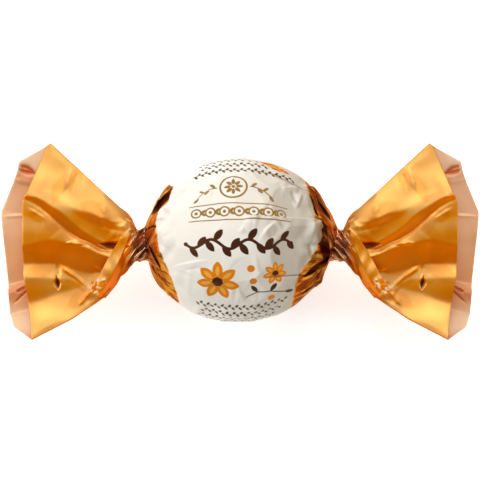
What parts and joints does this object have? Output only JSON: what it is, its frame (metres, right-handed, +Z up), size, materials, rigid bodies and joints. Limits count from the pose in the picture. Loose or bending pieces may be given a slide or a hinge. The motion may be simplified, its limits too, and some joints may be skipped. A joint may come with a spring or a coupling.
{
  "type": "wrapped chocolate truffle",
  "caption": "Round chocolate truffle shut in a satin orange wrapper with a white middle, its film twisted at each side into a flared, folded fan.",
  "frame": {"origin": "middle of the small flat spot under the ball, on the surface that the truffle rests on", "axes": "+X along the twist axis from fan to fan, +Y towards the top edge of the printed side, +Z up out of the printed side"},
  "size_m": [0.0844, 0.0346, 0.0282],
  "materials": {
    "wrapper_film": "satin metallised film in orange and gold, printed warm white over the ball, with a bare copper-pink inside"
  },
  "bodies": {
    "root": {"wrapped_truffle": "wrapper_film"}
  },
  "joints": []
}
